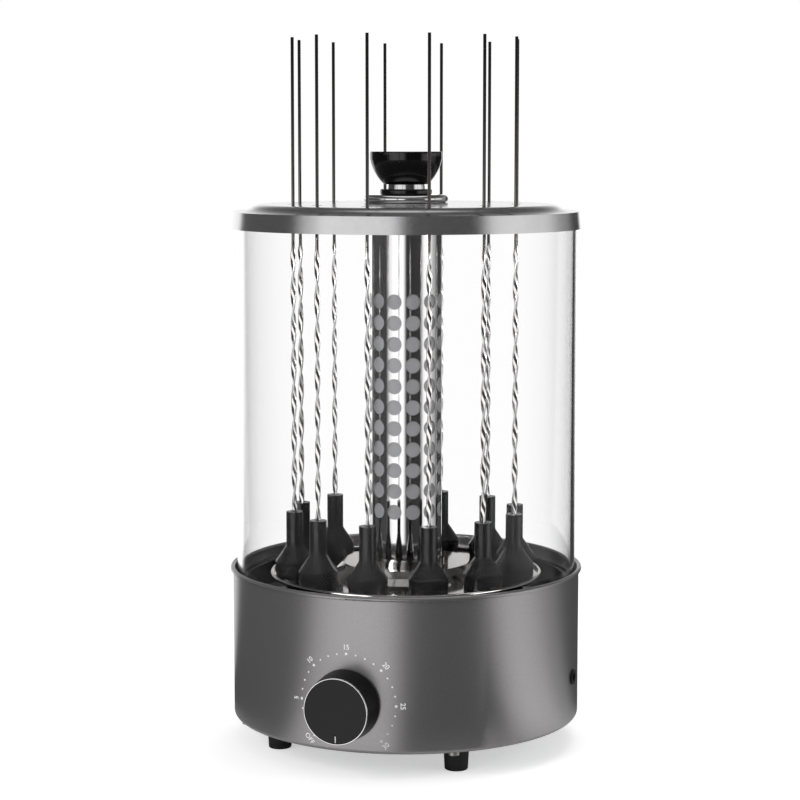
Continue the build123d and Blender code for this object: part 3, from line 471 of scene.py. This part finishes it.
# ---------------------------------------------------------------------------------------
# Drip tray
# Spun stainless steel, polished to a mirror on a lathe, so fine rings run round its axis.
# It stands loose on the pan and lifts out from above.
# ---------------------------------------------------------------------------------------
ring_mm = 0.7
stainless, tree = new_material("mirror_polished_stainless")
spot = add_node(tree, "TexCoord")
centred = add_node(tree, "Mapping", {"Location": -drum_axis}, {"Vector": spot.outputs["Object"]})
flat = add_node(tree, "VectorMath", {"operation": "MULTIPLY", 1: (1.0, 1.0, 0.0)},
                {0: centred.outputs["Vector"]})
radius = add_node(tree, "VectorMath", {"operation": "LENGTH"}, {0: flat.outputs["Vector"]})
rings = add_node(tree, "TexNoise", {"noise_dimensions": "1D", "Scale": 1 / (ring_mm * MM), "Detail": 3.0},
                 {"W": radius.outputs["Value"]})
ring_bump = add_node(tree, "Bump", {"Strength": 0.05, "Distance": 0.01 * MM},
                     {"Height": rings.outputs["Fac"]})
worn = add_node(tree, "MapRange", {"To Min": 0.04, "To Max": 0.13}, {"Value": rings.outputs["Fac"]})
mirror = add_node(tree, "BsdfPrincipled", {"Base Color": linear("#b9b6b4"), "Metallic": 1.0},
                  {"Roughness": worn.outputs["Result"], "Normal": ring_bump.outputs["Normal"]})
add_node(tree, "OutputMaterial", None, {"Surface": mirror.outputs["BSDF"]})
dress("drip_tray", "tray", stainless, round_about=drum_axis)

# ---------------------------------------------------------------------------------------
# Cups
# Black heat-proof nylon mouldings, one under each skewer: a soft sheen, never quite black.
# Each sits on the tip of a spindle and turns the skewer that stands in it.
# ---------------------------------------------------------------------------------------
sheen_mm = 2.0
cup_nylon, tree = new_material("black_moulded_nylon")
spot = add_node(tree, "TexCoord")
sheen = add_node(tree, "TexNoise", {"Scale": 1 / (sheen_mm * MM), "Detail": 3.0},
                 {"Vector": spot.outputs["Object"]})
sheen_gloss = add_node(tree, "MapRange", {"To Min": 0.20, "To Max": 0.30}, {"Value": sheen.outputs["Fac"]})
moulded = add_node(tree, "BsdfPrincipled", {"Base Color": linear("#1e1e1f")},
                   {"Roughness": sheen_gloss.outputs["Result"]})
add_node(tree, "OutputMaterial", None, {"Surface": moulded.outputs["BSDF"]})
station_circle = 83.25 * MM
front_station = -90.0


def station_turn(number):
    """The direction of a skewer station from the drum's axis, counted anticlockwise from the front."""
    return math.radians(front_station + 360.0 / len(stations) * (number - 1))


def station(number):
    """The middle of a skewer station."""
    turn = station_turn(number)
    return drum_axis + Vector((math.cos(turn), math.sin(turn), 0.0)) * station_circle


for number in stations:
    dress(f"skewer_cup_{number:02d}", f"cup_{number:02d}", cup_nylon,
          round_about=station(number))

# ---------------------------------------------------------------------------------------
# Skewers
# Each is a stainless strip twisted hot into a long screw, drawn down to a round rod above.
# The polished strip flashes white and dark as it turns; the rod's colour is painted darker, a painted dark
# reflection on its thin round sides.
# ---------------------------------------------------------------------------------------
blade_width = 4.0
blade_thickness = 1.5
rolled_edge = 0.35
blade_bottom = 137.8
twist_bottom = 147.8
blade_top = 361.0
blade_turns = 4
steps_per_turn = 36
rod_start = 366.0
rod_top = 516.0
rod_radius = 1.2
tip_length = 0.3
tip_share = 0.8
skewer_edge_degrees = 50.0

draw_mm = 0.3
along_draw = 0.04
painted_dark_fade_mm = 4.0
twisted, tree = new_material("twisted_stainless")
spot = add_node(tree, "TexCoord")
drawn = add_node(tree, "Mapping", {"Scale": (1.0, 1.0, along_draw)}, {"Vector": spot.outputs["Object"]})
lines = add_node(tree, "TexNoise", {"Scale": 1 / (draw_mm * MM), "Detail": 2.0},
                 {"Vector": drawn.outputs["Vector"]})
drawn_gloss = add_node(tree, "MapRange", {"To Min": 0.05, "To Max": 0.12}, {"Value": lines.outputs["Fac"]})
height = add_node(tree, "SeparateXYZ", None, {"Vector": spot.outputs["Object"]})
# The colour turns to a darker grey above the blade, over a few millimetres: a painted dark reflection on the
# rod.
painted_dark_rod = add_node(tree, "MapRange", {"From Min": (rod_start - painted_dark_fade_mm) * MM, "From Max": rod_start * MM},
                  {"Value": height.outputs["Z"]})
steel_tone = add_node(tree, "ValToRGB", None, {"Fac": painted_dark_rod.outputs["Result"]})
steel_tone.color_ramp.elements[0].color = linear("#eceaea")
steel_tone.color_ramp.elements[1].color = linear("#716e6d")
steel = add_node(tree, "BsdfPrincipled", {"Metallic": 1.0},
                 {"Base Color": steel_tone.outputs["Color"], "Roughness": drawn_gloss.outputs["Result"]})
add_node(tree, "OutputMaterial", None, {"Surface": steel.outputs["BSDF"]})


def outline(form, points):
    """Draws a closed outline through some points, and gives its corners and sides."""
    corners = [form.verts.new(point) for point in points]
    return corners + [form.edges.new(pair) for pair in zip(corners, corners[1:] + corners[:1])]


def draw_up(form, ring, rise, turn=0.0, steps=1):
    """Draws a ring of corners and sides upwards, turning as it goes, and gives its new end."""
    return bmesh.ops.spin(form, geom=ring, cent=(0.0, 0.0, 0.0), axis=(0.0, 0.0, 1.0), angle=turn,
                          dvec=(0.0, 0.0, rise * MM / steps), steps=steps)["geom_last"]


side, face = blade_width / 2, blade_thickness / 2
half_section = [(side, 0.0), (side, face - rolled_edge), (side - rolled_edge, face), (0.0, face),
                (rolled_edge - side, face), (-side, face - rolled_edge)]
section = half_section + [(-x, -y) for x, y in half_section]
form = bmesh.new()
foot = outline(form, [Vector((x, y, blade_bottom)) * MM for x, y in section])
twist_foot = draw_up(form, foot, twist_bottom - blade_bottom)
blade_end = draw_up(form, twist_foot, blade_top - twist_bottom, 2 * math.pi * blade_turns,
                    blade_turns * steps_per_turn)
blade_sides = [part for part in blade_end if isinstance(part, bmesh.types.BMEdge)]
rod_foot = bmesh.ops.create_circle(form, segments=len(section), radius=rod_radius * MM,
                                   matrix=Matrix.Translation((0.0, 0.0, rod_start * MM)))["verts"]
rod_sides = [edge for edge in form.edges if edge.is_wire]
bmesh.ops.bridge_loops(form, edges=blade_sides + rod_sides)
rod_end = draw_up(form, rod_foot + rod_sides, rod_top - tip_length - rod_start)
tip = draw_up(form, rod_end, tip_length)
bmesh.ops.scale(form, vec=(tip_share, tip_share, 1.0),
                verts=[part for part in tip if isinstance(part, bmesh.types.BMVert)])
bmesh.ops.holes_fill(form, edges=form.edges, sides=len(section))
bmesh.ops.recalc_face_normals(form, faces=form.faces)
straight_skewer = smooth_mesh(form, "skewer", skewer_edge_degrees)
for number in stations:
    skewer_mesh = straight_skewer.copy()
    skewer_mesh.name = f"skewer_{number:02d}_piece"
    skewer_mesh.transform(Matrix.Translation(station(number)) @ Matrix.Rotation(station_turn(number), 4, "Z"))
    stand_in(f"skewer_{number:02d}", skewer_mesh, f"spit_{number:02d}", twisted)
bpy.data.meshes.remove(straight_skewer)

# ---------------------------------------------------------------------------------------
# Column and handle base
# A perforated steel tube round the heater and the pressed flange under the lid's handle,
# both with bright chromium plate: a near perfect mirror.
# ---------------------------------------------------------------------------------------
haze_mm = 18.0
chrome, tree = new_material("bright_chromium_plate")
spot = add_node(tree, "TexCoord")
haze = add_node(tree, "TexNoise", {"Scale": 1 / (haze_mm * MM), "Detail": 3.0},
                {"Vector": spot.outputs["Object"]})
hazed = add_node(tree, "MapRange", {"To Min": 0.03, "To Max": 0.10}, {"Value": haze.outputs["Fac"]})
plate = add_node(tree, "BsdfPrincipled", {"Base Color": linear("#f0efef"), "Metallic": 1.0},
                 {"Roughness": hazed.outputs["Result"]})
add_node(tree, "OutputMaterial", None, {"Surface": plate.outputs["BSDF"]})
dress("guard_column", "base", chrome, round_about=drum_axis)
dress("handle_base", "lid_unit", chrome, round_about=drum_axis)

# ---------------------------------------------------------------------------------------
# Mesh sleeve and heater
# A sleeve of fine woven steel wire stands behind the column's holes. Its weave is drawn at
# 1.8 mm, coarser than the real wire, so that it shows. The heater is a sheathed rod.
# ---------------------------------------------------------------------------------------
weave_mm = 1.8
sleeve_radius = 25.6 * MM
woven, tree = new_material("woven_steel_wire")
spot = add_node(tree, "TexCoord")
centred = add_node(tree, "Mapping", {"Location": -drum_axis}, {"Vector": spot.outputs["Object"]})
parts = add_node(tree, "SeparateXYZ", None, {"Vector": centred.outputs["Vector"]})
around = add_node(tree, "Math", {"operation": "ARCTAN2"}, {0: parts.outputs["X"], 1: parts.outputs["Y"]})
wires = round(2 * math.pi * sleeve_radius / (weave_mm * MM))
weft_turn = add_node(tree, "Math", {"operation": "MULTIPLY", 1: float(wires)}, {0: around.outputs["Value"]})
warp_turn = add_node(tree, "Math", {"operation": "MULTIPLY", 1: 2 * math.pi / (weave_mm * MM)},
                     {0: parts.outputs["Z"]})
weft = add_node(tree, "Math", {"operation": "SINE"}, {0: weft_turn.outputs["Value"]})
warp = add_node(tree, "Math", {"operation": "SINE"}, {0: warp_turn.outputs["Value"]})
crossing = add_node(tree, "Math", {"operation": "MULTIPLY"},
                    {0: weft.outputs["Value"], 1: warp.outputs["Value"]})
weave = add_node(tree, "MapRange", {"From Min": -1.0}, {"Value": crossing.outputs["Value"]})
# The weave's grey follows its bump, darker in the sunken gaps between the wires and lighter on the raised
# crossings: painted shade and painted highlight over the weave pattern.
weave_painted_shade = add_node(tree, "ValToRGB", None, {"Fac": weave.outputs["Result"]})
weave_painted_shade.color_ramp.elements[0].color = linear("#5c5c5d")
weave_painted_shade.color_ramp.elements[1].color = linear("#c2c2c4")
weave_bump = add_node(tree, "Bump", {"Strength": 0.5, "Distance": 0.15 * MM},
                      {"Height": weave.outputs["Result"]})
wire = add_node(tree, "BsdfPrincipled", {"Metallic": 0.35, "Roughness": 0.55},
                {"Base Color": weave_painted_shade.outputs["Color"], "Normal": weave_bump.outputs["Normal"]})
add_node(tree, "OutputMaterial", None, {"Surface": wire.outputs["BSDF"]})
dress("guard_mesh", "base", woven, round_about=drum_axis)

oxide_mm = 14.0
sheath, tree = new_material("heat_tinted_sheath")
spot = add_node(tree, "TexCoord")
oxide = add_node(tree, "TexNoise", {"Scale": 1 / (oxide_mm * MM), "Detail": 4.0},
                 {"Vector": spot.outputs["Object"]})
tint = add_node(tree, "ValToRGB", None, {"Fac": oxide.outputs["Fac"]})
tint.color_ramp.elements[0].color = linear("#3c3734")
tint.color_ramp.elements[1].color = linear("#5b5048")
rod = add_node(tree, "BsdfPrincipled", {"Metallic": 0.8, "Roughness": 0.45},
               {"Base Color": tint.outputs["Color"]})
add_node(tree, "OutputMaterial", None, {"Surface": rod.outputs["BSDF"]})
dress("heater_rod", "base", sheath, round_about=drum_axis)

# ---------------------------------------------------------------------------------------
# Glass cylinder
# Clear heat-proof glass, drawn as a tube and fire-polished at both ends. It stands on the
# pan's ledge, inside the drum's rim, and carries the lid.
# ---------------------------------------------------------------------------------------
draw_lines_mm = 60.0
along_lines = 0.05
clear, tree = new_material("drawn_borosilicate_glass")
spot = add_node(tree, "TexCoord")
pulled = add_node(tree, "Mapping", {"Scale": (1.0, 1.0, along_lines)}, {"Vector": spot.outputs["Object"]})
ripple = add_node(tree, "TexNoise", {"Scale": 1 / (draw_lines_mm * MM), "Detail": 0.0},
                  {"Vector": pulled.outputs["Vector"]})
tone = add_node(tree, "ValToRGB", None, {"Fac": ripple.outputs["Fac"]})
tone.color_ramp.elements[0].color = linear("#fefefe")
tone.color_ramp.elements[1].color = linear("#ffffff")
melt = add_node(tree, "BsdfPrincipled", {"Roughness": 0.0, "IOR": 1.38, "Transmission Weight": 1.0,
                                         "Specular Tint": linear("#5a5a5a")},
                {"Base Color": tone.outputs["Color"]})
add_node(tree, "OutputMaterial", None, {"Surface": melt.outputs["BSDF"]})
glass_inside = 122.0
glass_outside = 125.0
glass_bottom = 121.5
glass_top = 390.5
fire_polish = 0.8
glass_steps = 256
glass_edge_degrees = 40.0
glass_outline = (
    (glass_inside, glass_bottom + fire_polish), (glass_inside + fire_polish, glass_bottom),
    (glass_outside - fire_polish, glass_bottom), (glass_outside, glass_bottom + fire_polish),
    (glass_outside, glass_top - fire_polish), (glass_outside - fire_polish, glass_top),
    (glass_inside + fire_polish, glass_top), (glass_inside, glass_top - fire_polish),
)


def spun_round(points, middle, axis, steps):
    """A closed outline spun right round an axis."""
    form = bmesh.new()
    bmesh.ops.spin(form, geom=outline(form, points), cent=middle, axis=axis, angle=2 * math.pi,
                   steps=steps, use_merge=True)
    bmesh.ops.recalc_face_normals(form, faces=form.faces)
    return form


form = spun_round([drum_axis + Vector((reach, 0.0, height)) * MM for reach, height in glass_outline],
                  drum_axis, (0.0, 0.0, 1.0), glass_steps)
glass_mesh = smooth_mesh(form, "glass_cylinder_piece", glass_edge_degrees)
true_round(glass_mesh, drum_axis)
glass = stand_in("glass_cylinder", glass_mesh, "glass", clear)
glass.visible_shadow = False

# ---------------------------------------------------------------------------------------
# Lid
# Pressed from sheet steel with twelve holes that steady the skewers, and painted a smoother
# and lighter silver grey than the drum.
# ---------------------------------------------------------------------------------------
gloss_mm = 3.5
silver_coat, tree = new_material("satin_silver_coat")
spot = add_node(tree, "TexCoord")
gloss = add_node(tree, "TexNoise", {"Scale": 1 / (gloss_mm * MM), "Detail": 3.0},
                 {"Vector": spot.outputs["Object"]})
gloss_tone = add_node(tree, "ValToRGB", None, {"Fac": gloss.outputs["Fac"]})
gloss_tone.color_ramp.elements[0].color = linear("#cfcecf")
gloss_tone.color_ramp.elements[1].color = linear("#dcdbdc")
gloss_spread = add_node(tree, "MapRange", {"To Min": 0.15, "To Max": 0.20}, {"Value": gloss.outputs["Fac"]})
silver = add_node(tree, "BsdfPrincipled", {"Metallic": 0.95},
                  {"Base Color": gloss_tone.outputs["Color"], "Roughness": gloss_spread.outputs["Result"]})
add_node(tree, "OutputMaterial", None, {"Surface": silver.outputs["BSDF"]})
dress("lid", "lid_unit", silver_coat, round_about=drum_axis)

# ---------------------------------------------------------------------------------------
# Lid handle and its ring
# Black phenolic mouldings, because phenolic stays cool: a bowl-shaped knob polished in the
# mould to a hard gloss, and a ring under it that keeps the fingers off the plated base.
# ---------------------------------------------------------------------------------------
flow_mm = 5.0
phenolic, tree = new_material("black_phenolic_moulding")
spot = add_node(tree, "TexCoord")
flow = add_node(tree, "TexNoise", {"Scale": 1 / (flow_mm * MM), "Detail": 3.0},
                {"Vector": spot.outputs["Object"]})
flow_bump = add_node(tree, "Bump", {"Strength": 0.08, "Distance": 0.04 * MM}, {"Height": flow.outputs["Fac"]})
flow_gloss = add_node(tree, "MapRange", {"To Min": 0.08, "To Max": 0.15}, {"Value": flow.outputs["Fac"]})
hard = add_node(tree, "BsdfPrincipled", {"Base Color": linear("#0a0a0b")},
                {"Roughness": flow_gloss.outputs["Result"], "Normal": flow_bump.outputs["Normal"]})
add_node(tree, "OutputMaterial", None, {"Surface": hard.outputs["BSDF"]})
dress("lid_handle", "lid_unit", phenolic, round_about=drum_axis)
dress("handle_ring", "lid_unit", phenolic, round_about=drum_axis)

# ---------------------------------------------------------------------------------------
# Timer knob
# Moulded black, satin on its face, with a groove filled with white paint as its pointer.
# A narrow steel ring, chromium plated like the column, is set into the edge of its face.
# ---------------------------------------------------------------------------------------
spark_mm = 0.35
satin_black, tree = new_material("satin_black_moulding")
spot = add_node(tree, "TexCoord")
spark = add_node(tree, "TexNoise", {"Scale": 1 / (spark_mm * MM), "Detail": 2.0},
                 {"Vector": spot.outputs["Object"]})
spark_bump = add_node(tree, "Bump", {"Strength": 0.2, "Distance": 0.03 * MM},
                      {"Height": spark.outputs["Fac"]})
eroded = add_node(tree, "BsdfPrincipled", {"Base Color": linear("#080808"), "Roughness": 0.36,
                                           "Specular IOR Level": 0.3},
                  {"Normal": spark_bump.outputs["Normal"]})
add_node(tree, "OutputMaterial", None, {"Surface": eroded.outputs["BSDF"]})
dress("timer_knob", "timer_dial", satin_black)

trim_radius = 22.95
trim_round = 0.45
trim_front = -140.0
trim_back = -138.4
trim_steps = 144
trim_edge_degrees = 50.0
bead_steps = 10
knob_height = 54.0
knob_axis = Vector((0.0, 0.0, knob_height)) * MM
bead = [(trim_radius + trim_round * math.cos(turn), trim_front + trim_round * (1.0 - math.sin(turn)))
        for turn in (math.pi * step / bead_steps for step in range(bead_steps + 1))]
trim_outline = bead + [(trim_radius - trim_round, trim_back), (trim_radius + trim_round, trim_back)]
form = spun_round([knob_axis + Vector((reach, depth, 0.0)) * MM for reach, depth in trim_outline],
                  knob_axis, (0.0, 1.0, 0.0), trim_steps)
trim_mesh = smooth_mesh(form, "knob_trim_ring_piece", trim_edge_degrees)
stand_in("knob_trim_ring", trim_mesh, "timer_dial", chrome)

pad_mm = 0.5
ink, tree = new_material("white_pad_print")
spot = add_node(tree, "TexCoord")
pad = add_node(tree, "TexNoise", {"Scale": 1 / (pad_mm * MM), "Detail": 1.0},
               {"Vector": spot.outputs["Object"]})
pad_tone = add_node(tree, "ValToRGB", None, {"Fac": pad.outputs["Fac"]})
pad_tone.color_ramp.elements[0].color = linear("#e4e4e4")
pad_tone.color_ramp.elements[1].color = linear("#f6f6f6")
printed = add_node(tree, "BsdfPrincipled", {"Roughness": 0.5}, {"Base Color": pad_tone.outputs["Color"]})
add_node(tree, "OutputMaterial", None, {"Surface": printed.outputs["BSDF"]})

knob_face_y = -140.0
index_mm = (0.7, 0.25, 4.6)
index_sunk = 0.125
index_down = 19.6
index_edge = 0.08
index_middle = Vector((0.0, knob_face_y + index_sunk + index_mm[1] / 2, knob_height - index_down)) * MM
form = bmesh.new()
bmesh.ops.create_cube(form, size=1.0)
bmesh.ops.scale(form, vec=Vector(index_mm) * MM, verts=form.verts)
bmesh.ops.bevel(form, geom=form.edges[:], offset=index_edge * MM, segments=1, profile=0.5,
                affect="EDGES", material=-1)
bmesh.ops.translate(form, vec=index_middle, verts=form.verts)
index_mesh = bpy.data.meshes.new("knob_index")
form.to_mesh(index_mesh)
form.free()
knob_index = link_object("knob_index", index_mesh, ink)
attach(knob_index, "timer_dial")

# ---------------------------------------------------------------------------------------
# Dial print
# White marks printed on the drum round the knob: a large dot and a number every five
# minutes, small dots between them, and the word OFF.
# ---------------------------------------------------------------------------------------
drum_radius = 128.0
print_radius = drum_radius + 0.04
dial_level = 54.2
dot_circle = 35.4
number_circle = 40.0
large_dot = 1.0
small_dot = 0.68
dot_corners = 20
number_height = 5.0
stroke_growth = 0.09


def wrap(form):
    """Bends flat marks, drawn in millimetres in front of the knob, onto the round drum."""
    for vert in form.verts:
        across, up, out = vert.co
        turn = across / drum_radius
        reach = print_radius + out
        back = drum_axis.y / MM - reach * math.cos(turn)
        vert.co = Vector((reach * math.sin(turn), back, dial_level + up)) * MM


def clock_spot(degrees, circle):
    """Millimetres right and up from the knob's middle at an angle clockwise from the top."""
    return Vector((circle * math.sin(math.radians(degrees)), circle * math.cos(math.radians(degrees)), 0.0))


marks = bmesh.new()
five_minutes = 45.0
off_step = -12
for step in (off_step, *range(-10, 13)):
    degrees = step * five_minutes / 4
    radius_mm = large_dot if step % 4 == 0 and step != off_step else small_dot
    bmesh.ops.create_circle(marks, cap_ends=True, segments=dot_corners, radius=radius_mm,
                            matrix=Matrix.Translation(clock_spot(degrees, dot_circle)))
words = (("5", -90.0), ("10", -45.0), ("15", 0.0), ("20", 45.0), ("25", 90.0), ("30", 135.0), ("OFF", -134.0))
upright_to = 100.0
for word, degrees in words:
    letters = bpy.data.curves.new("dial_" + word, "FONT")
    letters.body = word
    letters.size = number_height
    letters.offset = stroke_growth
    letters.align_x = "CENTER"
    letters.align_y = "CENTER"
    letters.resolution_u = 4
    drawn_word = bpy.data.objects.new("dial_" + word, letters)
    bpy.context.scene.collection.objects.link(drawn_word)
    bpy.context.view_layer.update()
    finished = bpy.context.evaluated_depsgraph_get()
    word_mesh = bpy.data.meshes.new_from_object(drawn_word.evaluated_get(finished))
    tilt = -degrees if abs(degrees) < upright_to else 180.0 - degrees
    word_mesh.transform(Matrix.Translation(clock_spot(degrees, number_circle))
                        @ Matrix.Rotation(math.radians(tilt), 4, "Z"))
    marks.from_mesh(word_mesh)
    bpy.data.objects.remove(drawn_word)
    bpy.data.meshes.remove(word_mesh)
    bpy.data.curves.remove(letters)
wrap(marks)
dial_mesh = bpy.data.meshes.new("dial_print")
marks.to_mesh(dial_mesh)
marks.free()
dial_print = link_object("dial_print", dial_mesh, ink)
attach(dial_print, "base")
